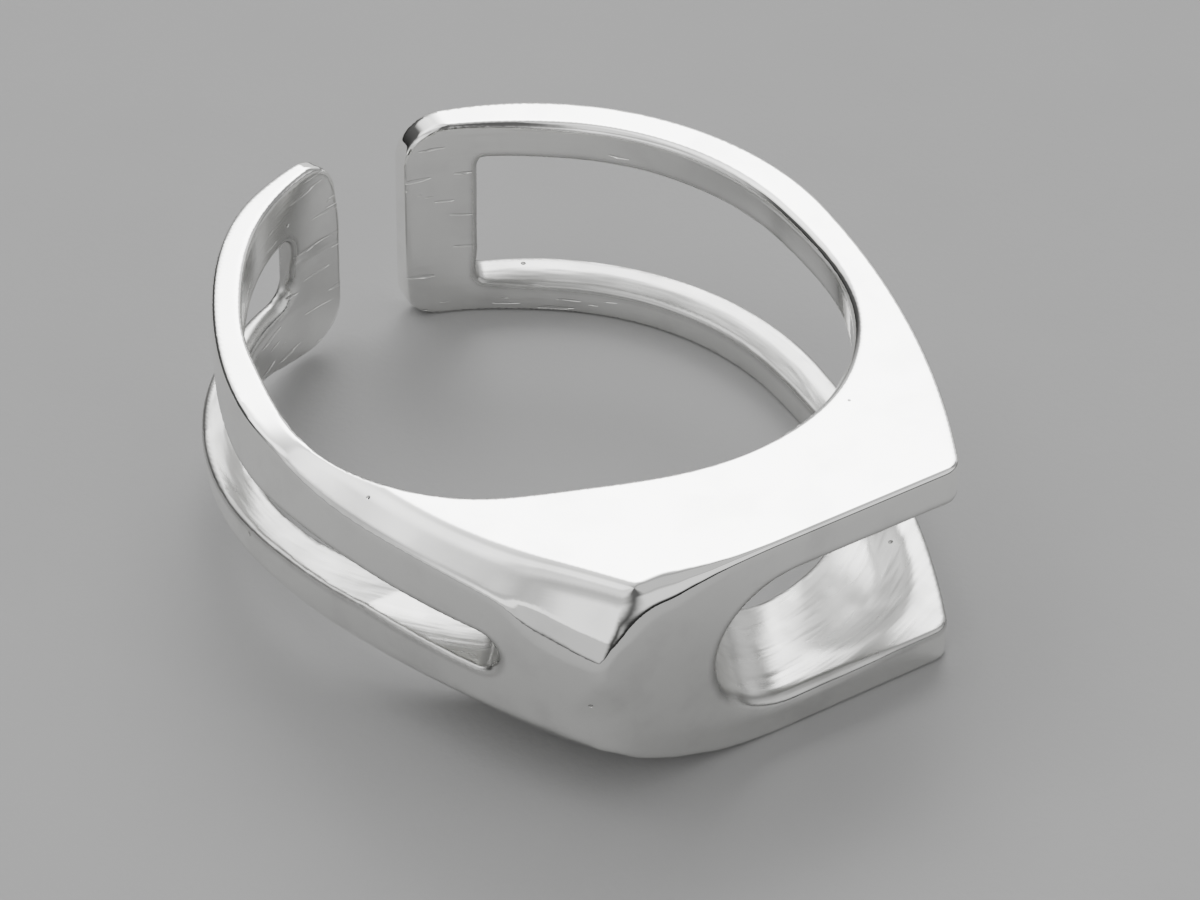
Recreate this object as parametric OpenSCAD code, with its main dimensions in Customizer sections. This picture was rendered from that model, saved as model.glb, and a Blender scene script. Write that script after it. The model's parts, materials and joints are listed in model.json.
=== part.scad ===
// Adjustable ring: one cast silver shank with a flat face, lying on its side.
// The finger axis is +Z, the flat face looks along -Y and the gap lies at +Y.
// The wide arm is at +X and the narrow arm at -X. Angles count round the finger axis from +X.

/* [Finger hole] */
// Diameter of the finger hole beside the arms
finger_d = 17.6; // [17.2:0.1:18]
// Width of the ring along the finger, which is its height as it lies
ring_w = 7.4; // [7.2:0.1:7.8]

/* [Arms] */
// Thickness of the wide arm beside the finger
wide_arm_t = 1.3; // [1.2:0.1:1.6]
// Thickness of the narrow arm beside the finger
narrow_arm_t = 1.2; // [1.1:0.05:1.3]
// Where the wide arm ends, in degrees from +X
wide_end_a = 83.5; // [80:0.5:86]
// Where the narrow arm ends, in degrees from +X
narrow_end_a = 98.5; // [97:0.5:103]
// Radius of the upper corner at the end of the wide arm
wide_top_corner_r = 1.5; // [1:0.1:2]
// Radius of the lower corner at the end of the wide arm
wide_low_corner_r = 1.1; // [0.8:0.1:1.5]
// Radius of the upper corner at the end of the narrow arm
narrow_top_corner_r = 1.2; // [0.8:0.1:1.6]
// Radius of the lower corner at the end of the narrow arm
narrow_low_corner_r = 1.6; // [1.2:0.1:2]

/* [Face] */
// Distance of the flat face from the finger axis
face_y = 13; // [12.7:0.1:13.3]
// From the finger axis to the face's corner on the wide side
face_wide_x = 6.3; // [6:0.1:6.6]
// From the finger axis to the face's corner on the narrow side
face_narrow_x = 5.9; // [5.6:0.1:6.1]

/* [Wide slot] */
// Thickness of the strip under the slot
lower_strip_t = 1.25; // [1.1:0.05:1.4]
// Thickness of the strip over the slot
upper_strip_t = 1.3; // [1.2:0.05:1.5]
// Where the slot's round end is centred on the face, along X
wide_slot_x = 0.7; // [0.3:0.1:1.2]
// Slant of the round end towards the wide side as it runs in
wide_slot_slant = 25; // [15:1:30]
// Where the slot ends in the wide arm, in degrees from +X
wide_slot_end_a = 69; // [64:0.5:72]

/* [Narrow slot] */
// Where the slot's round end is centred on the shoulder, in degrees from +X
narrow_slot_a = 230.5; // [229:0.5:232]
// Where the slot ends in the narrow arm, in degrees from +X
narrow_slot_end_a = 110.5; // [109:0.5:118]

/* [Hidden] */
silver = [0.86, 0.86, 0.84];
finger_r = finger_d / 2;
wide_r = finger_r + wide_arm_t;
narrow_r = finger_r + narrow_arm_t;
// The arms turn into their shoulders this far below the X axis
turn_a = 4.5;
// Cutting shapes run this far past what they cut
past = 2;
// Well outside the ring
far = 3 * face_y;
// Angle between two sections of a rounded edge
step_a = 4;
$fn = 180;

// Where the finger hole swells out past its round, by the circle that the swell follows: at the
// wide shoulder and at the ends of the arms
X = 0;
Y = 1;
R = 2;
swells = [
    [1.46, -2.0, 7.2],
    [-0.5, 2.3, 7.1],
];
// Over the narrow slot the hole swells out at the shoulder too, and the strip is set in outside
narrow_swell = [-2.77, -1.56, 6.4];
strip_outside = [7.5, -3.7, 17.9];
strips_part_z = 4.2;

// How the upper outer edge is rounded down, by angle. DROP is how far the edge lies under the
// upper side plane and ROLL is how far from the edge the rounding begins.
ANGLE = 0;
DROP = 1;
ROLL = 2;
upper_edge = [
    [-182, -0.1, 1.1],
    [-178, 0.1, 1.1],
    [-171, 0.35, 1.0],
    [-163, 0.65, 1.0],
    [-146, 0.6, 1.1],
    [-135, 0.7, 1.2],
    [-128, 0.75, 1.4],
    [-124, 1.4, 1.6],
    [-121, 1.8, 1.9],
    [-114, 2.0, 2.4],
    [-111, 1.5, 2.4],
    [-108, 0.85, 2.2],
    [-104, 0.6, 1.8],
    [-98, 0.3, 1.3],
    [-93, -0.1, 1.0],
];

// How the underside rises on the narrow side, by angle. INNER and OUTER are the heights of its
// two edges over the lower side plane and WIDTH is how far from the outer edge the rise begins.
INNER = 1;
OUTER = 2;
WIDTH = 3;
underside = [
    [-265, 0.75, 1.1, 1.0],
    [-254, 0.75, 1.1, 1.0],
    [-241, 1.3, 1.6, 1.0],
    [-230, 1.9, 2.1, 1.0],
    [-200, 1.95, 2.2, 1.0],
    [-180, 1.9, 2.1, 1.0],
    [-164, 1.6, 2.05, 1.0],
    [-146, 1.0, 2.4, 1.8],
    [-130, 0.4, 2.55, 2.8],
    [-122, -0.1, 2.7, 3.4],
    [-114, -0.1, 2.6, 3.6],
    [-112, -0.1, 2.0, 3.2],
    [-108, -0.1, 1.2, 2.6],
    [-103, -0.1, 0.7, 2.0],
    [-94, -0.1, 0.15, 1.2],
    [-90, -0.1, -0.3, 1.0],
];

// The floor and the roof of the narrow slot over the lower side plane, along Y
FLOOR = 1;
ROOF = 2;
narrow_slot_side = [
    [-far, 3.7, 5.05],
    [-5.5, 3.7, 5.05],
    [-2, 3.35, 5.05],
    [far / 4, 2.75, 5.7],
];

function value(table, column, a) = lookup(a, [for (row = table) [row[0], row[column]]]);
function direction(a) = [cos(a), sin(a)];

// A shoulder is an arc from a corner of the face that runs smoothly into its arm
function shoulder_radius(corner, arm_r, turn) =
    pow(norm(corner - arm_r * turn), 2) / (2 * (arm_r - corner * turn));
wide_turn = direction(-turn_a);
wide_shoulder_r = shoulder_radius([face_wide_x, -face_y], wide_r, wide_turn);
wide_shoulder_c = (wide_r - wide_shoulder_r) * wide_turn;
narrow_turn = direction(180 + turn_a);
narrow_shoulder_r = shoulder_radius([-face_narrow_x, -face_y], narrow_r, narrow_turn);
narrow_shoulder_c = (narrow_r - narrow_shoulder_r) * narrow_turn;

// Distance from the finger axis to the outer wall on the narrow side and on the face
function reach_of_arc(a, centre, radius) =
    let (along = centre * direction(a))
    along + sqrt(radius * radius - centre * centre + along * along);
function reach(a) =
    a < turn_a - 180 ? narrow_r :
    min(
        reach_of_arc(a, narrow_shoulder_c, narrow_shoulder_r),
        face_y / max(-sin(a), 0.1)
    );

// The angles at which a rounded edge has a section, with one on the corner of the face
corner_a = atan2(-face_y, -face_narrow_x);
function spread(from, to) =
    let (count = ceil((to - from) / step_a))
    [for (i = [0:count - 1]) from + (to - from) * i / count];
function section_angles(table) =
    let (from = table[0][0], to = table[len(table) - 1][0])
    concat(spread(from, corner_a), spread(corner_a, to), [to]);

// A solid that runs round the finger axis through sections of [distance from the axis, height]
module swept(angles, sections) {
    sides = len(sections[0]);
    last = len(angles) - 1;
    points = [
        for (i = [0:last])
            for (p = sections[i])
                [p[0] * cos(angles[i]), p[0] * sin(angles[i]), p[1]]
    ];
    walls = [
        for (i = [0:last - 1])
            for (j = [0:sides - 1])
                let (k = (j + 1) % sides)
                each [
                    [i * sides + j, i * sides + k, (i + 1) * sides + j],
                    [i * sides + k, (i + 1) * sides + k, (i + 1) * sides + j]
                ]
    ];
    cap = [for (j = [0:sides - 1]) j];
    caps = [backwards(cap), [for (j = cap) last * sides + j]];
    polyhedron(points, concat(walls, caps), convexity = 6);
}

// The curve of a rounded edge, in steps from 0 where it begins to 1 at the outer wall and past it
roll_power = 1.6;
roll_steps = [0.02, 0.3, 0.6, 0.85, 1.1];
function rounded(start, width, from, to) = [
    for (s = roll_steps) [start + width * s, from + (to - from) * pow(s, roll_power)]
];
function backwards(list) = [for (i = [len(list) - 1:-1:0]) list[i]];

// The rounding of the upper edge begins this far over the side plane, so that it cuts it cleanly
clearance = 0.02;

// What the rounding of the upper edge takes away
module upper_rounding() {
    angles = section_angles(upper_edge);
    swept(angles, [
        for (a = angles)
            let (
                drop = value(upper_edge, DROP, a),
                roll = value(upper_edge, ROLL, a),
                start = reach(a) - roll
            )
            concat(
                rounded(start, roll, ring_w + clearance, ring_w - drop),
                [[start + 2 * roll, ring_w + past], [start, ring_w + past]]
            )
    ]);
}

// What the rise of the underside takes away
module underside_rise() {
    angles = section_angles(underside);
    swept(angles, [
        for (a = angles)
            let (
                inner = value(underside, INNER, a),
                outer = value(underside, OUTER, a),
                width = value(underside, WIDTH, a),
                start = reach(a) - width
            )
            concat(
                [[start + 2 * width, -past]],
                backwards(rounded(start, width, inner, outer)),
                [[start - past, inner], [start - past, -past]]
            )
    ]);
}

// A sector of the plane round the finger axis
module sector(from, to) {
    count = ceil((to - from) / 45);
    polygon(concat([[0, 0]], [for (i = [0:count]) far * direction(from + (to - from) * i / count)]));
}

// The ring as seen along the finger
module plan() {
    difference() {
        union() {
            intersection() {
                circle(r = wide_r);
                sector(-turn_a, wide_end_a);
            }
            intersection() {
                circle(r = narrow_r);
                sector(narrow_end_a, 180 + turn_a);
            }
            intersection() {
                translate(wide_shoulder_c)
                    circle(r = wide_shoulder_r);
                translate(narrow_shoulder_c)
                    circle(r = narrow_shoulder_r);
                sector(turn_a - 180, -turn_a);
                translate([-far, -face_y])
                    square([2 * far, face_y]);
            }
        }
        circle(r = finger_r);
        for (swell = swells)
            translate([swell[X], swell[Y]])
                circle(r = swell[R]);
    }
}

// The strip over the narrow slot follows its own curves, inside and outside
module narrow_strip_trim() {
    translate([narrow_swell[X], narrow_swell[Y], strips_part_z])
        cylinder(r = narrow_swell[R], h = ring_w);
    translate([0, 0, strips_part_z])
        linear_extrude(ring_w)
            difference() {
                sector(118, 184);
                translate([strip_outside[X], strip_outside[Y]])
                    circle(r = strip_outside[R]);
            }
}

// The wide slot: from its round end on the face, over the shoulder, to the end of the wide arm
module wide_slot() {
    slot_h = ring_w - lower_strip_t - upper_strip_t;
    translate([wide_slot_x, -face_y, lower_strip_t + slot_h / 2])
        rotate([0, 0, -wide_slot_slant])
            rotate([90, 0, 0])
                translate([0, 0, -finger_r])
                    linear_extrude(finger_r + past) {
                        circle(d = slot_h);
                        translate([0, -slot_h / 2])
                            square([face_y, slot_h]);
                    }
    translate([0, 0, lower_strip_t])
        linear_extrude(slot_h)
            sector(atan2(-finger_r, face_wide_x), wide_slot_end_a);
}

// The narrow slot: from its round end on the shoulder to the end of the narrow arm
module narrow_slot() {
    round_end = narrow_slot_side[0];
    intersection() {
        translate([-far, 0, 0])
            rotate([90, 0, 90])
                linear_extrude(far)
                    polygon(concat(
                        [for (row = narrow_slot_side) [row[0], row[FLOOR]]],
                        backwards([for (row = narrow_slot_side) [row[0], row[ROOF]]])
                    ));
        linear_extrude(ring_w)
            sector(narrow_slot_end_a, narrow_slot_a);
    }
    translate([0, 0, (round_end[FLOOR] + round_end[ROOF]) / 2])
        rotate([0, 90, narrow_slot_a])
            translate([0, 0, finger_r - 1])
                cylinder(d = round_end[ROOF] - round_end[FLOOR], h = face_y);
}

// What the rounding of one corner takes away, at the end of an arm that lies at angle a
module end_corner(a, side, z, up, r) {
    rotate([0, 0, a])
        translate([0, 0, z])
            mirror([0, side, 0])
                mirror([0, 0, up])
                    difference() {
                        translate([finger_r - past, -past, -past])
                            cube([wide_arm_t + 2 * past, r + past, r + past]);
                        translate([0, r, r])
                            rotate([0, 90, 0])
                                cylinder(r = r, h = face_y);
                    }
}

// The whole ring is one casting
module shank() {
    narrow_end_z = value(underside, INNER, narrow_end_a - 360);
    color(silver)
        difference() {
            linear_extrude(ring_w)
                plan();
            wide_slot();
            narrow_slot();
            narrow_strip_trim();
            upper_rounding();
            underside_rise();
            end_corner(wide_end_a, 1, ring_w, 1, wide_top_corner_r);
            end_corner(wide_end_a, 1, 0, 0, wide_low_corner_r);
            end_corner(narrow_end_a, 0, ring_w, 1, narrow_top_corner_r);
            end_corner(narrow_end_a, 0, narrow_end_z, 0, narrow_low_corner_r);
        }
}

shank();
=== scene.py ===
import json
import math

import bpy
from mathutils import Matrix, Vector


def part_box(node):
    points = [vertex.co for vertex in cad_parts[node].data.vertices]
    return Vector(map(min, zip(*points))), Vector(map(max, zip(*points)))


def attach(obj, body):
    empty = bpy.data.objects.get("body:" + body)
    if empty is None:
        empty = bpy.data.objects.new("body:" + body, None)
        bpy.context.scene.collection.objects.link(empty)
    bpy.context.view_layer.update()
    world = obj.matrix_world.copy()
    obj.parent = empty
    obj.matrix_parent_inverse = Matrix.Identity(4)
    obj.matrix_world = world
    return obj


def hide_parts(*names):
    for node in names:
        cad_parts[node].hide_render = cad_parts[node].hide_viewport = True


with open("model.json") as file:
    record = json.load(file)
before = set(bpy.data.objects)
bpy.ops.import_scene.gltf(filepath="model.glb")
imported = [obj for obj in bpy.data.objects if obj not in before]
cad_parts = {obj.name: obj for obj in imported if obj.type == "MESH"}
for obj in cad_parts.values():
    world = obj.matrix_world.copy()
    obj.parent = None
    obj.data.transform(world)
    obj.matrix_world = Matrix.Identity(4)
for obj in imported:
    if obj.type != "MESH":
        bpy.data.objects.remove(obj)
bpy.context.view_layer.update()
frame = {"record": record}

# Camera
# The ring lies on its side and is seen from its narrow shoulder, forty degrees above the surface,
# through a long lens. Turn is counted from -Y towards +X, and distances are from the target.
MM = 0.001
camera_turn = -33.2
camera_rise = 39.94
camera_roll = 0.81
camera_distance = 136.45 * MM
camera_target = Vector((-2.057, -6.929, 7.4)) * MM
camera_lens = 143
camera_sensor = 36
camera_clip = 10 * MM
turn = math.radians(camera_turn)
tilt = math.radians(camera_rise)
away = Vector((math.sin(turn) * math.cos(tilt), -math.cos(turn) * math.cos(tilt), math.sin(tilt)))
camera_data = bpy.data.cameras.new("camera")
camera_data.sensor_width = camera_sensor
camera_data.lens = camera_lens
camera_data.clip_start = camera_clip
camera = bpy.data.objects.new("camera", camera_data)
bpy.context.scene.collection.objects.link(camera)
camera.matrix_world = (
    Matrix.Translation(camera_target + camera_distance * away)
    @ away.to_track_quat("Z", "Y").to_matrix().to_4x4()
    @ Matrix.Rotation(math.radians(camera_roll), 4, "Z")
)
bpy.context.scene.camera = camera

# The shank
# The whole ring is one casting in sterling silver, cast with its slots open, filed, and polished on
# a wheel, which leaves soft edges and walls like mirrors and a satin skin in the slots. All its
# sizes are in millimetres and degrees.
hole = next(m for m in frame["record"]["mounts"] if m["name"] == "finger_hole")
low, high = (Vector(corner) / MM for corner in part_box("shank"))
shank_sizes = {
    "Hole radius": hole["dims"]["r_mm"],
    "Width": high.z,
    "Face distance": -low.y,
    "Wide arm": high.x - hole["dims"]["r_mm"],
    "Narrow arm": 1.2,
    "Lower strip": 1.25,
    "Upper strip": 1.3,
    "Outer rounding": 0.14,
    "Inner rounding": 0.13,
    "Unevenness": 0.035,
    "Grain": 0.11,
}
# Corners of the face along X, how far below the X axis each arm turns into its shoulder, and the
# steps over which the one changes to the other
face_wide_x = 6.3
face_narrow_x = 5.9
turn_below = 4.5
turn_blend = (-1, 1)
# Radius of the wide corner, and of the narrow one below and above two heights
wide_corner = 0.35
narrow_corner = {"below": 1.0, "above": 0.18, "heights": (3.2, 5.0)}
# Circles that the finger hole swells out to, as X, Y and radius, and how far the ridge between two
# of them is worn
shoulder_swell = (1.46, -2.0, 7.2)
tip_swell = (-0.5, 2.3, 7.1)
swell_wear = 0.4
# The strip over the narrow slot: the heights over which it starts, the circles that bound it inside
# and outside, how far the ridge outside it is worn, and how much thicker it is inside than its
# circle leaves it, from one distance along -X to another
strip_heights = (3.9, 4.7)
strip_swell = (-2.77, -1.56, 6.4)
strip_outside = (7.5, -3.7, 17.9)
strip_wear = 0.5
strip_fill = 0.17
strip_fill_along = (0, 5)
# How the upper side slopes down to its outer edge on the narrow side: distance along the wall from
# where the arm turns into the shoulder, drop of the edge, width of the slope, then how much further
# the edge drops over a last narrow band, and the width of that band
DROP, SLOPE_WIDTH, BAND_DROP, BAND_WIDTH = range(1, 5)
upper_edge = [
    (-1.5, 0.0, 1.2, 0.0, 0.2),
    (0.8, 0.15, 1.2, 0.0, 0.2),
    (2.2, 0.48, 1.2, 0.0, 0.2),
    (3.9, 0.68, 1.2, 0.0, 0.2),
    (6.6, 0.67, 1.25, 0.0, 0.2),
    (8.3, 0.73, 1.35, 0.0, 0.2),
    (9.2, 0.79, 1.45, 0.0, 0.2),
    (9.7, 0.88, 1.5, 0.02, 0.2),
    (10.0, 0.97, 1.53, 0.09, 0.24),
    (10.3, 1.08, 1.56, 0.24, 0.29),
    (10.6, 1.2, 1.6, 0.34, 0.33),
    (11.0, 1.33, 1.65, 0.38, 0.36),
    (12.1, 1.62, 1.75, 0.3, 0.38),
    (13.2, 1.78, 1.8, 0.15, 0.4),
]
# The share of that slope over which it eases in, and how far it is carried on past the edge
slope_ease = 0.5
past_edge = 1.3
# How the underside of the narrow side rises: angle, heights of its inner and outer edge, and how
# far from the outer edge the rise begins
INNER_HEIGHT, OUTER_HEIGHT, RISE_WIDTH = range(1, 4)
underside = [
    (-265, 0.15, 0.3, 1.0),
    (-254, 0.2, 0.45, 1.0),
    (-241, 0.7, 1.1, 1.0),
    (-229, 1.4, 1.8, 1.0),
    (-215, 1.85, 2.15, 1.0),
    (-200, 1.95, 2.2, 1.0),
    (-180, 1.9, 2.1, 1.0),
    (-164, 1.6, 2.1, 1.2),
    (-146, 1.0, 2.35, 1.8),
    (-130, 0.4, 2.5, 2.8),
    (-120, 0.0, 2.5, 3.4),
    (-114, 0.0, 2.1, 3.5),
    (-108, 0.0, 1.2, 2.8),
    (-101, 0.0, 0.5, 2.0),
    (-94, 0.0, 0.1, 1.4),
    (-89, 0.0, 0.0, 1.0),
]
rise_power = 1.6
# How wide the rise takes the corner of the face, the steps over which it changes to the arm, and
# how squarely it has to look at the face to reach it
rise_corner = 1.2
rise_blend = (-0.5, 0.5)
rise_facing = 0.1
# The tips of the two arms, in degrees from +X, with the radii of their upper and lower corners, and
# how much further the narrow tip reaches below than above two heights
wide_tip = {"angle": 83.5, "upper": 1.5, "lower": 1.1}
narrow_tip = {"angle": 98.5, "upper": 1.2, "lower": 1.6}
narrow_tip_step = 0.18
narrow_tip_heights = (4.6, 6.8)
# The wide slot: centre and slant of its round end, the distance in front of the X axis that this
# end reaches back to, the angle where the slot ends, and the radius there
wide_slot_x = 0.7
wide_slot_slant = 25
wide_slot_straight = 5
wide_slot_end = 69
wide_slot_end_radius = 0.3
# Its floor is dished behind a rim along the face and the shoulder: depth, distances from the walls
# over which it falls and rises again, wear of its corner, where it starts along X, and its heights
dish_depth = 0.3
dish_falls = (0.5, 1.8)
dish_rises = (1.5, 5.5)
dish_wear = 2.5
dish_along = (1, 5)
dish_heights = (1.6, 2.6)
# The narrow slot: the angles where it starts and ends, the radius of its end, and its floor and
# roof by distance along Y
narrow_slot_start = 230.5
narrow_slot_end = 110.5
narrow_slot_end_radius = 0.7
FLOOR, ROOF = range(1, 3)
narrow_slot_side = [(-5.5, 3.7, 5.05), (-2, 3.35, 5.05), (9.7, 2.85, 5.57)]
# Bumps in the slots per millimetre
unevenness_scale = 0.7
# Radius of the edge between the face and the upper side, which is filed round near the narrow
# shoulder, by X. It applies from one distance to another in front of the X axis and under the top
RADIUS = 1
face_edge = [
    (-5.9, 0.16),
    (-5.3, 0.42),
    (-4.6, 0.75),
    (-3.8, 0.8),
    (-3.0, 0.62),
    (-2.0, 0.36),
    (-1.0, 0.2),
    (0.0, 0.14),
]
face_edge_front = (11, 11.6)
upper_side = (-1.25, -1.0)
# Three more edges that are rounder than the rest: the rim under the wide slot, the edge of the
# narrow slot's floor inside the tip, and the edge of the finger hole at the wide arm. Each fades
# over the distances given: along X or Y, in height, and from the slot
rim_edge = {
    "radius": 0.42, "x": (1, 5.5), "front": (11.2, 12), "heights": (1.9, 3.2), "slot": (0.5, 0.7),
}
tip_edge = {"radius": 0.5, "y": (3, 6), "heights": (3.2, 3.8), "slot": (0.8, 1.0)}
wide_hole_edge = {"radius": 0.3, "x": (2, 6)}


def add(tree, kind, links=None, **settings):
    """Adds a node with its settings, and gives its inputs a value or the output of another node."""
    node = tree.nodes.new(kind)
    for name, value in settings.items():
        setattr(node, name, value)
    for name, value in (links or {}).items():
        value = getattr(value, "socket", value)
        if isinstance(value, bpy.types.NodeSocket):
            tree.links.new(value, node.inputs[name])
        else:
            node.inputs[name].default_value = value
    return node


class Length:
    """A length in the tree. A formula of lengths adds the maths nodes that work it out."""

    def __init__(self, socket):
        self.socket = socket

    def worked(self, operation, *others):
        values = dict(enumerate((self, *others)))
        node = add(self.socket.node.id_data, "ShaderNodeMath", values, operation=operation)
        return Length(node.outputs[0])

    def __add__(self, other):
        return self.worked("ADD", other)

    def __sub__(self, other):
        return self.worked("SUBTRACT", other)

    def __mul__(self, other):
        return self.worked("MULTIPLY", other)

    def __truediv__(self, other):
        return self.worked("DIVIDE", other)

    def __rsub__(self, other):
        return self * -1 + other

    def __neg__(self):
        return self * -1

    __radd__ = __add__
    __rmul__ = __mul__


def greatest(first, *others):
    for other in others:
        first = first.worked("MAXIMUM", other)
    return first


def least(first, other):
    return first.worked("MINIMUM", other)


def across(first, second):
    """The length of the diagonal over two lengths at right angles."""
    return (first * first + second * second).worked("SQRT")


def between(value, start, end):
    """0 below start and 1 above end, with a smooth step from one to the other."""
    node = add(value.socket.node.id_data, "ShaderNodeMapRange", {0: value, 1: start, 2: end},
               interpolation_type="SMOOTHSTEP")
    return Length(node.outputs[0])


def mixed(share, zero, one):
    return zero + (one - zero) * share


def meet(first, second, radius):
    """Where two surfaces bound the silver, the edge between them is rounded to a radius."""
    outside = across(greatest(first + radius, 0), greatest(second + radius, 0))
    return least(greatest(first + radius, second + radius), 0) + outside - radius


def merge(first, second, radius):
    """Where two hollows run into each other, the ridge between them is worn round."""
    near = greatest((first - second).worked("ABSOLUTE") * -1 + radius, 0) / radius
    return greatest(first, second) + near * near * (radius / 4)


def read_off(rows, column, place):
    """The value that a table's column has at a place between its rows, along a smooth curve."""
    starts = [row[0] for row in rows]
    values = [row[column] for row in rows]
    lowest = min(values)
    span = max(values) - lowest
    share = (place - starts[0]) / (starts[-1] - starts[0])
    node = add(place.socket.node.id_data, "ShaderNodeFloatCurve", {"Value": share})
    points = node.mapping.curves[0].points
    while len(points) < len(rows):
        points.new(0.5, 0.5)
    for point, start, value in zip(points, starts, values):
        point.location = ((start - starts[0]) / (starts[-1] - starts[0]), (value - lowest) / span)
    node.mapping.extend = "HORIZONTAL"
    node.mapping.update()
    return Length(node.outputs[0]) * span + lowest


def heading(degrees):
    return Vector((math.cos(math.radians(degrees)), math.sin(math.radians(degrees))))


def sized_tree(name, takes, gives):
    """A tree with the sockets that it takes and gives, and an input for each size of the ring."""
    tree = bpy.data.node_groups.new(name, "GeometryNodeTree")
    for socket, kind in takes.items():
        tree.interface.new_socket(socket, in_out="INPUT", socket_type="NodeSocket" + kind)
    for size_name, value in shank_sizes.items():
        socket = tree.interface.new_socket(size_name, in_out="INPUT", socket_type="NodeSocketFloat")
        socket.default_value = value
    for socket, kind in gives.items():
        tree.interface.new_socket(socket, in_out="OUTPUT", socket_type="NodeSocket" + kind)
    return tree


# How far a point lies outside the silver, in millimetres
distances = {"Distance": "Float", "Slot distance": "Float"}
field = sized_tree("distance to the silver", {"Point": "Vector"}, distances)
given = add(field, "NodeGroupInput").outputs
size = {name: Length(given[name]) for name in shank_sizes}
x, y, z = (Length(socket) for socket in add(field, "ShaderNodeSeparateXYZ", {0: given["Point"]}).outputs)
reach = across(x, y)
# Angles run from -270 to 90, so that they pass the gap only once
angle = y.worked("ARCTAN2", x) * math.degrees(1)
angle = angle - angle.worked("GREATER_THAN", 90) * 360
on_wide = x.worked("GREATER_THAN", 0)


def from_circle(centre_x, centre_y):
    return across(x - centre_x, y - centre_y)


def beyond(degrees, side):
    """How far past the half plane at an angle, counted to the left for side 1 and right for -1."""
    ahead = heading(degrees)
    return y * (ahead.x * side) - x * (ahead.y * side)


def side_wall(arm_radius, corner_x, turn_degrees, ahead_side):
    """The outer wall of one side: its arm, and the shoulder that runs smoothly from it to the face.
    Its second result is the distance along that wall, from where the two meet to the face."""
    ahead = heading(turn_degrees)
    corner = Vector((corner_x, low.y))
    radius = (corner - arm_radius * ahead).length_squared / (2 * (arm_radius - corner.dot(ahead)))
    centre = (arm_radius - radius) * ahead
    shoulder = from_circle(centre.x, centre.y) - radius
    past_turn = beyond(turn_degrees, ahead_side)
    on_arm = between(past_turn, *turn_blend)
    out = x * ahead.x + y * ahead.y
    run_on_arm = (-past_turn).worked("ARCTAN2", out) * arm_radius
    run_on_shoulder = (-past_turn).worked("ARCTAN2", out + (radius - arm_radius)) * radius
    run = mixed(past_turn.worked("GREATER_THAN", 0), run_on_shoulder, run_on_arm)
    return mixed(on_arm, shoulder, reach - arm_radius), run, centre, radius


# The outer walls, the face and its corners
wide_radius = shank_sizes["Hole radius"] + shank_sizes["Wide arm"]
narrow_radius = shank_sizes["Hole radius"] + shank_sizes["Narrow arm"]
wide_wall, _, _, _ = side_wall(wide_radius, face_wide_x, -turn_below, 1)
arm_wall, run, narrow_centre, narrow_shoulder = side_wall(
    narrow_radius, -face_narrow_x, 180 + turn_below, -1)
over_slot = between(z, *strip_heights)
strip_wall = from_circle(*strip_outside[:2]) - strip_outside[2]
narrow_wall = mixed(over_slot, arm_wall, merge(arm_wall, strip_wall, strip_wear))
side = mixed(on_wide, narrow_wall, wide_wall)
face = -y - size["Face distance"]
above_step = between(z, *narrow_corner["heights"])
corner_radius = mixed(above_step, narrow_corner["below"], narrow_corner["above"])
outside = meet(side, face, mixed(on_wide, corner_radius, wide_corner))

# The finger hole with its swells
inside = size["Hole radius"] - reach
for centre_x, centre_y, radius in (shoulder_swell, tip_swell):
    inside = merge(inside, radius - from_circle(centre_x, centre_y), swell_wear)
swell = strip_swell[2] - from_circle(*strip_swell[:2])
strip_inside = merge(inside, swell, swell_wear) - between(-x, *strip_fill_along) * strip_fill
inside = mixed(over_slot, inside, strip_inside)

# The upper side, which slopes down to its outer edge on the narrow side
down = least(greatest(1 + arm_wall / read_off(upper_edge, SLOPE_WIDTH, run), 0), past_edge)
easing = least(down, slope_ease)
slope = (easing * easing / (2 * slope_ease) + down - easing) / (1 - slope_ease / 2)
band = least(greatest(1 + arm_wall / read_off(upper_edge, BAND_WIDTH, run), 0), past_edge)
top = z - size["Width"] + read_off(upper_edge, DROP, run) * slope
top = top + read_off(upper_edge, BAND_DROP, run) * band

# The underside, which rises off the surface on the narrow side
along = (x * narrow_centre.x + y * narrow_centre.y) / reach
spare = narrow_shoulder ** 2 - narrow_centre.length_squared
shoulder_reach = along + (along * along + spare).worked("SQRT")
face_reach = size["Face distance"] / greatest(-y / reach, rise_facing)
head_reach = -merge(-shoulder_reach, -face_reach, rise_corner)
arm_reach = mixed(between(beyond(180 + turn_below, -1), *rise_blend), head_reach, narrow_radius)
rise = greatest((reach - arm_reach) / read_off(underside, RISE_WIDTH, angle) + 1, 0)
rise = least(rise, past_edge).worked("POWER", rise_power)
height = mixed(rise, read_off(underside, INNER_HEIGHT, angle), read_off(underside, OUTER_HEIGHT, angle))
bottom = height * (1 - on_wide) - z

# The two tips, with their rounded corners
narrow_end = beyond(narrow_tip["angle"], -1) - (1 - between(z, *narrow_tip_heights)) * narrow_tip_step
tips = least(mixed(on_wide, narrow_end, beyond(wide_tip["angle"], 1)), y)
upper_corner = mixed(on_wide, narrow_tip["upper"], wide_tip["upper"])
lower_corner = mixed(on_wide, narrow_tip["lower"], wide_tip["lower"])
sides = greatest(meet(top, tips, upper_corner), meet(bottom, tips, lower_corner))

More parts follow.
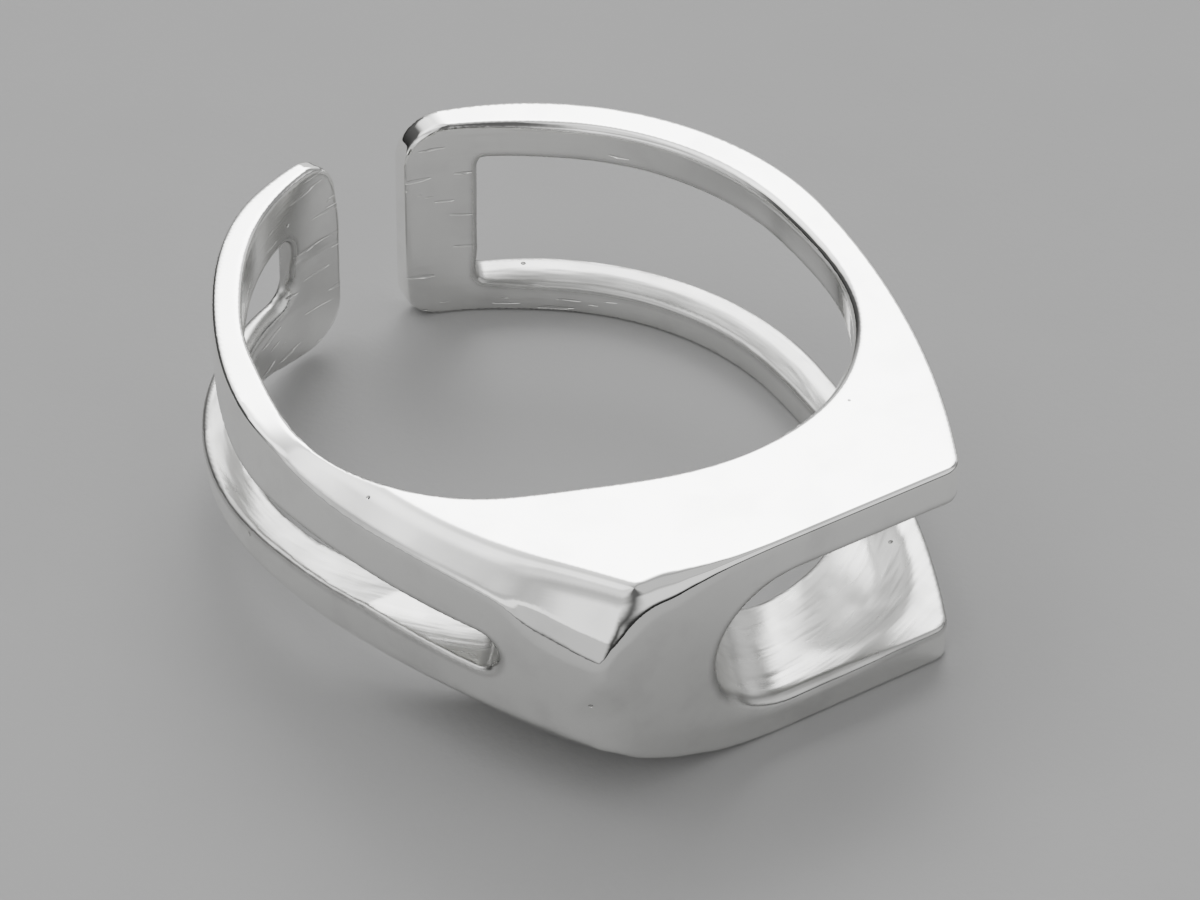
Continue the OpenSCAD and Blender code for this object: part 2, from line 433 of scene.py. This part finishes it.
# The wide slot, from its round end on the face to its square end in the wide arm
slot_middle = (size["Width"] - size["Upper strip"] + size["Lower strip"]) / 2
slot_half = (size["Width"] - size["Upper strip"] - size["Lower strip"]) / 2
slanted = heading(-wide_slot_slant)
into_slot = (x - wide_slot_x) * slanted.x + (y + size["Face distance"]) * slanted.y
into_slot = greatest(into_slot, y + wide_slot_straight)
wide_slot = across(least(into_slot, 0), z - slot_middle) - slot_half
wide_slot = meet(wide_slot, beyond(wide_slot_end, 1), wide_slot_end_radius)
depth = -merge(side, face, dish_wear)
dish = between(depth, *dish_falls) * (1 - between(depth, *dish_rises))
dish = dish * between(x, *dish_along) * (1 - between(z, *dish_heights))
wide_slot = wide_slot - dish * dish_depth

# The narrow slot, from its round end on the shoulder to its square end in the narrow arm
floor_height = read_off(narrow_slot_side, FLOOR, y)
roof_height = read_off(narrow_slot_side, ROOF, y)
into_slot = least(beyond(narrow_slot_start, -1), 0)
above_middle = z - (floor_height + roof_height) / 2
narrow_slot = across(into_slot, above_middle) - (roof_height - floor_height) / 2
narrow_slot = meet(narrow_slot, beyond(narrow_slot_end, -1), narrow_slot_end_radius)

# The slots are left as cast, a little uneven
bumps = add(field, "ShaderNodeTexNoise", {
    "Vector": given["Point"], "Scale": unevenness_scale, "Detail": 1.0,
})
uneven = (Length(bumps.outputs[0]) - 0.5) * size["Unevenness"]
sides = greatest(sides, -wide_slot - uneven, -narrow_slot - uneven)

# Every edge is rounded by the polishing
near_top = between(top, *upper_side)
on_face = between(-y, *face_edge_front)
outer_rounding = mixed(near_top * on_face, size["Outer rounding"], read_off(face_edge, RADIUS, x))
on_rim = (1 - between(z, *rim_edge["heights"])) * (1 - between(wide_slot, *rim_edge["slot"]))
on_rim = on_rim * between(-y, *rim_edge["front"]) * (1 - between(x, *rim_edge["x"]))
outer_rounding = mixed(on_rim, outer_rounding, rim_edge["radius"])
in_tip = (1 - on_wide) * between(y, *tip_edge["y"]) * (1 - between(z, *tip_edge["heights"]))
in_tip = in_tip * (1 - between(narrow_slot, *tip_edge["slot"]))
at_wide_arm = near_top * between(x, *wide_hole_edge["x"])
inner_rounding = mixed(at_wide_arm, size["Inner rounding"], wide_hole_edge["radius"])
inner_rounding = mixed(in_tip, inner_rounding, tip_edge["radius"])
silver = greatest(meet(outside, sides, outer_rounding), meet(inside, sides, inner_rounding))
add(field, "NodeGroupOutput", {"Distance": silver, "Slot distance": least(wide_slot, narrow_slot)})

# The ring is cast out of that distance: a grid is filled with it, and the skin of the grid is
# settled onto the true surface in a few steps down the slope of the distance. The slope is measured
# over a small step each way, and in a crease, where it is flat, it counts as this steep at least
margin = Vector((1, 1, 1))
settlings = 3
slope_step = 0.03
least_steepness = 0.2
# Distances from a slot over which its satin skin fades into the polish
satin_fades = (0.06, 0.3)
casting = sized_tree(
    "cast ring", {"Geometry": "Geometry", "Silver": "Material"}, {"Geometry": "Geometry"})
given = add(casting, "NodeGroupInput").outputs


def distance_at(place, output="Distance"):
    links = {name: given[name] for name in shank_sizes}
    group = add(casting, "GeometryNodeGroup", {"Point": place, **links}, node_tree=field)
    return Length(group.outputs[output])


def moved(place, offset):
    return add(casting, "ShaderNodeVectorMath", {0: place, 1: offset}, operation="ADD").outputs[0]


place = add(casting, "GeometryNodeInputPosition").outputs[0]
lowest = low - margin
highest = high + margin
cells_per_mm = Length(given["Grain"]).worked("POWER", -1)
extent = highest - lowest
counts = {"Resolution " + name: cells_per_mm * extent[axis] for axis, name in enumerate("XYZ")}
grid = add(casting, "GeometryNodeVolumeCube", {
    "Density": -distance_at(place), "Background": -1.0, "Min": lowest, "Max": highest, **counts,
})
shape = add(casting, "GeometryNodeVolumeToMesh", {"Volume": grid.outputs[0], "Threshold": 0.0}).outputs[0]
for settling in range(settlings):
    slopes = []
    for axis in range(3):
        shift = Vector((0, 0, 0))
        shift[axis] = slope_step
        climb = distance_at(moved(place, shift)) - distance_at(moved(place, -shift))
        slopes.append(climb / (2 * slope_step))
    steepness = slopes[0] * slopes[0] + slopes[1] * slopes[1] + slopes[2] * slopes[2]
    back = -distance_at(place) / greatest(steepness, least_steepness)
    offset = add(casting, "ShaderNodeCombineXYZ", {axis: slopes[axis] * back for axis in range(3)})
    settled = add(casting, "GeometryNodeSetPosition", {"Geometry": shape, "Offset": offset.outputs[0]})
    shape = settled.outputs[0]
as_cast = 1 - between(distance_at(place, "Slot distance"), *satin_fades)
for kind, links in (
    ("GeometryNodeStoreNamedAttribute", {"Name": "as_cast", "Value": as_cast}),
    ("GeometryNodeTransform", {"Scale": (MM, MM, MM)}),
    ("GeometryNodeSetShadeSmooth", {}),
    ("GeometryNodeRealizeInstances", {}),
    ("GeometryNodeSetMaterial", {"Material": given["Silver"]}),
):
    shape = add(casting, kind, {"Geometry": shape, **links}).outputs[0]
add(casting, "NodeGroupOutput", {"Geometry": shape})


def colour(hex_code):
    """A hex sRGB colour as the linear one that a shader works with."""
    shares = [int(hex_code[i:i + 2], 16) / 255 for i in (1, 3, 5)]
    linear = [s / 12.92 if s <= 0.04045 else ((s + 0.055) / 1.055) ** 2.4 for s in shares]
    return (*linear, 1)


# Sterling silver, polished on a wheel: a mirror with a faint haze and hardly any waves. Fine lines
# run round the ring where the wheel went, plain to see only inside the two tips, and a few pits are
# left from casting. The walls of the slots keep the skin of the mould, satin with soft streaks.
polished = colour("#f6f6f4")
dull = colour("#a6a6a4")
mirror_roughness = 0.01
# Patterns that run round the ring, in cells per millimetre along it, outwards and upwards: lines
# 0.1 mm apart and several millimetres long, drawn three times coarser than the real ones, scratches
# up to 3 mm long and a tenth wide, and streaks 0.5 mm wide
round_patterns = {
    "lines": ((0.22, 2, 7), {"Detail": 3.0, "Roughness": 0.65}),
    "scratches": ((0.5, 2, 5), {"Detail": 1.0}),
    "streaks": ((0.3, 2.2, 1), {"Detail": 2.0}),
}
# The radius that they run round at
pattern_radius = 9
# Waves over a few millimetres from the hand at the wheel, a haze, and pits 0.1 mm across, one in
# several square millimetres, all in cells per millimetre
wave_scale = 0.35
haze_scale = 0.6
pit_scale = 0.8
# From where to where each of them begins to show: scratches and haze by the noise's value, pits by
# their size in cells and by the share of the cells that have none
scratch_shows = (0.66, 0.7)
haze_shows = (0.45, 0.7)
pit_edge = (0.03, 0.07)
pit_missing = (0.66, 0.68)
# Inside the tips, where the wheel can't reach, the wall that faces the finger keeps its scratches:
# how squarely it faces inwards, and where along Y that begins
tip_facing = (0.6, 0.9)
tip_along = (2.5, 6.5)
silver_material = bpy.data.materials.new("polished sterling silver")
silver_material.use_nodes = True
shading = silver_material.node_tree
seen = add(shading, "ShaderNodeTexCoord").outputs
in_mm = add(shading, "ShaderNodeVectorMath", {0: seen["Object"], "Scale": 1 / MM}, operation="SCALE")
in_mm = in_mm.outputs[0]
spot = add(shading, "ShaderNodeSeparateXYZ", {0: in_mm}).outputs
spot_x, spot_y, spot_z = (Length(socket) for socket in spot)
facing = add(shading, "ShaderNodeSeparateXYZ", {0: seen["Normal"]}).outputs
facing_x, facing_y = Length(facing[0]), Length(facing[1])
spot_reach = across(spot_x, spot_y)
spot_run = spot_x.worked("ARCTAN2", -spot_y) * pattern_radius
patterns = {}
for name, ((along_it, outwards, upwards), settings) in round_patterns.items():
    cells = add(shading, "ShaderNodeCombineXYZ", {
        0: spot_run * along_it, 1: spot_reach * outwards, 2: spot_z * upwards,
    })
    noise = add(shading, "ShaderNodeTexNoise", {"Vector": cells.outputs[0], "Scale": 1.0, **settings})
    patterns[name] = Length(noise.outputs[0])
inward = (facing_x * spot_x + facing_y * spot_y) / (spot_reach * -1)
inside_tips = between(inward, *tip_facing) * between(spot_y, *tip_along)
satin = Length(add(shading, "ShaderNodeAttribute", attribute_name="as_cast").outputs["Fac"])
scratch = between(patterns["scratches"], *scratch_shows) * inside_tips
streak = patterns["streaks"] * satin
waves = add(shading, "ShaderNodeTexNoise", {"Vector": in_mm, "Scale": wave_scale, "Detail": 1.0})
waves = Length(waves.outputs[0])
haze = add(shading, "ShaderNodeTexNoise", {"Vector": in_mm, "Scale": haze_scale, "Detail": 4.0})
haze = Length(haze.outputs[0])
pits = add(shading, "ShaderNodeTexVoronoi", {"Vector": in_mm, "Scale": pit_scale}).outputs
pit = 1 - between(Length(pits["Distance"]), *pit_edge)
pit = pit * between(Length(pits["Color"]), *pit_missing)
# What each pattern adds: height in millimetres, roughness, and share of the dull colour
HEIGHT, ROUGHNESS, DULLNESS = range(1, 4)
finish = [
    (patterns["lines"], 0.0006, 0.02, 0),
    (patterns["lines"] * inside_tips, 0.012, 0.12, 0),
    (waves, 0.006, 0, 0),
    (haze, 0, 0.07, 0),
    (between(haze, *haze_shows), 0, 0, 0.15),
    (satin, 0, 0.17, 0.6),
    (streak, 0.03, 0.12, 0.2),
    (scratch, -0.03, 0, 0),
    (pit, -0.04, 0.3, 0.65),
]
lift, rough, dulled = (
    sum(row[0] * row[column] for row in finish if row[column])
    for column in (HEIGHT, ROUGHNESS, DULLNESS)
)
bump = add(shading, "ShaderNodeBump", {"Height": lift, "Distance": MM, "Strength": 1.0})
shade = add(shading, "ShaderNodeMix", {0: dulled, 6: polished, 7: dull}, data_type="RGBA")
shader = shading.nodes["Principled BSDF"]
shader.inputs["Metallic"].default_value = 1
shading.links.new(shade.outputs[2], shader.inputs["Base Color"])
shading.links.new((rough + mirror_roughness).socket, shader.inputs["Roughness"])
shading.links.new(bump.outputs[0], shader.inputs["Normal"])

# The tree runs on an empty mould, which is thrown away once the casting is out of it
mould = bpy.data.objects.new("mould", bpy.data.meshes.new("mould"))
bpy.context.scene.collection.objects.link(mould)
cast = mould.modifiers.new("cast ring", "NODES")
cast.node_group = casting
for item in casting.interface.items_tree:
    if item.in_out == "INPUT" and item.name in shank_sizes:
        cast[item.identifier] = float(shank_sizes[item.name])
    if item.in_out == "INPUT" and item.name == "Silver":
        cast[item.identifier] = silver_material
shank_mesh = bpy.data.meshes.new_from_object(mould.evaluated_get(bpy.context.evaluated_depsgraph_get()))
mould.modifiers.remove(cast)
bpy.data.objects.remove(mould)
shank = bpy.data.objects.new("cast_shank", shank_mesh)
bpy.context.scene.collection.objects.link(shank)
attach(shank, "root")
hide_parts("shank")

# Floor
# A wide sheet of pale board, laid flat under the ring. Its surface is matt, faintly mottled over a
# few millimetres, with a fine grain.
floor_half = 400 * MM
darker = colour("#a0a0a0")
lighter = colour("#a4a4a4")
board_roughness = 0.9
# Mottle and grain in cells per millimetre, and the depth of the grain
mottle_scale = 0.25
grain_scale = 4.0
grain_depth = 0.012 * MM
floor_mesh = bpy.data.meshes.new("floor")
quarters = ((-1, -1), (1, -1), (1, 1), (-1, 1))
corners = [(across_x * floor_half, across_y * floor_half, 0) for across_x, across_y in quarters]
floor_mesh.from_pydata(corners, [], [(0, 1, 2, 3)])
floor = bpy.data.objects.new("floor", floor_mesh)
bpy.context.scene.collection.objects.link(floor)
floor_material = bpy.data.materials.new("pale matt board")
floor_material.use_nodes = True
board = floor_material.node_tree
seen = add(board, "ShaderNodeTexCoord").outputs
in_mm = add(board, "ShaderNodeVectorMath", {0: seen["Object"], "Scale": 1 / MM}, operation="SCALE")
in_mm = in_mm.outputs[0]
mottle = add(board, "ShaderNodeTexNoise", {"Vector": in_mm, "Scale": mottle_scale, "Detail": 6.0})
shade = add(board, "ShaderNodeMix", {0: mottle.outputs[0], 6: darker, 7: lighter}, data_type="RGBA")
grain = add(board, "ShaderNodeTexNoise", {"Vector": in_mm, "Scale": grain_scale, "Detail": 3.0})
bump = add(board, "ShaderNodeBump", {"Height": grain.outputs[0], "Distance": grain_depth, "Strength": 1.0})
shader = board.nodes["Principled BSDF"]
shader.inputs["Roughness"].default_value = board_roughness
board.links.new(shade.outputs[2], shader.inputs["Base Color"])
board.links.new(bump.outputs[0], shader.inputs["Normal"])
floor_mesh.materials.append(floor_material)

# Light
# Softboxes with feathered sides in an otherwise dim room, brightest behind the ring, where its upper
# side mirrors them. Azimuths are counted from -Y towards +X, half widths are from the middle of a
# softbox to the middle of its feather, and each one rises and fades out between elevations.
feather = 15
softbox_colour = colour("#ffffff")
softboxes = [
    # The bright one behind the ring, and two wide and dim ones round it
    {"azimuth": 142, "half_width": 18, "rises": (26, 33), "fades": (46, 60), "strength": 9.0},
    {"azimuth": 190, "half_width": 58, "rises": (32, 50), "fades": (56, 100), "strength": 1.6},
    {"azimuth": 200, "half_width": 34, "rises": (28, 38), "fades": (46, 64), "strength": 1.8},
    # A low one behind the ring, for the rounded edges of the tips and the finger hole
    {"azimuth": 135, "half_width": 34, "rises": (0, 8), "fades": (26, 36), "strength": 1.2},
    # Two at the left and one high above it, for the slope of the narrow shoulder
    {"azimuth": -80, "half_width": 40, "rises": (-1, 4), "fades": (40, 70), "strength": 0.8},
    {"azimuth": -66, "half_width": 30, "rises": (16, 22), "fades": (34, 44), "strength": 1.0},
    {"azimuth": -110, "half_width": 60, "rises": (48, 64), "fades": (85, 100), "strength": 1.3},
    # Three in front and at the right, for the edges of the face and of the wide slot
    {"azimuth": 60, "half_width": 60, "rises": (45, 60), "fades": (80, 100), "strength": 0.7},
    {"azimuth": 30, "half_width": 40, "rises": (6, 16), "fades": (46, 56), "strength": 1.2},
    {"azimuth": 100, "half_width": 30, "rises": (2, 10), "fades": (40, 70), "strength": 0.25},
]
# The room gets brighter upwards, between elevations, from almost nothing below the floor
room_rises = (-10, 35)
room_strength = 0.12
room_least = 0.02
exposure = 0.6
world = bpy.data.worlds.new("studio")
world.use_nodes = True
bpy.context.scene.world = world
# This look keeps the gradients in the white parts of the silver, which the plain one clips
bpy.context.scene.view_settings.look = "AgX - Punchy"
bpy.context.scene.view_settings.exposure = exposure
sky = world.node_tree
toward = add(sky, "ShaderNodeTexCoord").outputs["Generated"]
toward = add(sky, "ShaderNodeSeparateXYZ", {0: toward}).outputs
toward_x, toward_y, toward_z = (Length(socket) for socket in toward)
elevation = toward_z.worked("ARCSINE") * math.degrees(1)
# Straight up there is no azimuth, so the level part of the direction is kept above nothing
least_level = 0.001
level = greatest(across(toward_x, toward_y), least_level)
glow = between(elevation, *room_rises) * room_strength + room_least
for softbox in softboxes:
    out = heading(softbox["azimuth"] - 90)
    aside = ((toward_x * out.x + toward_y * out.y) / level).worked("ARCCOSINE") * math.degrees(1)
    edge = softbox["half_width"]
    sideways = 1 - between(aside, edge - feather, edge + feather)
    upwards = between(elevation, *softbox["rises"]) * (1 - between(elevation, *softbox["fades"]))
    glow = glow + sideways * upwards * softbox["strength"]
background = sky.nodes["Background"]
background.inputs["Color"].default_value = softbox_colour
sky.links.new(glow.socket, background.inputs["Strength"])
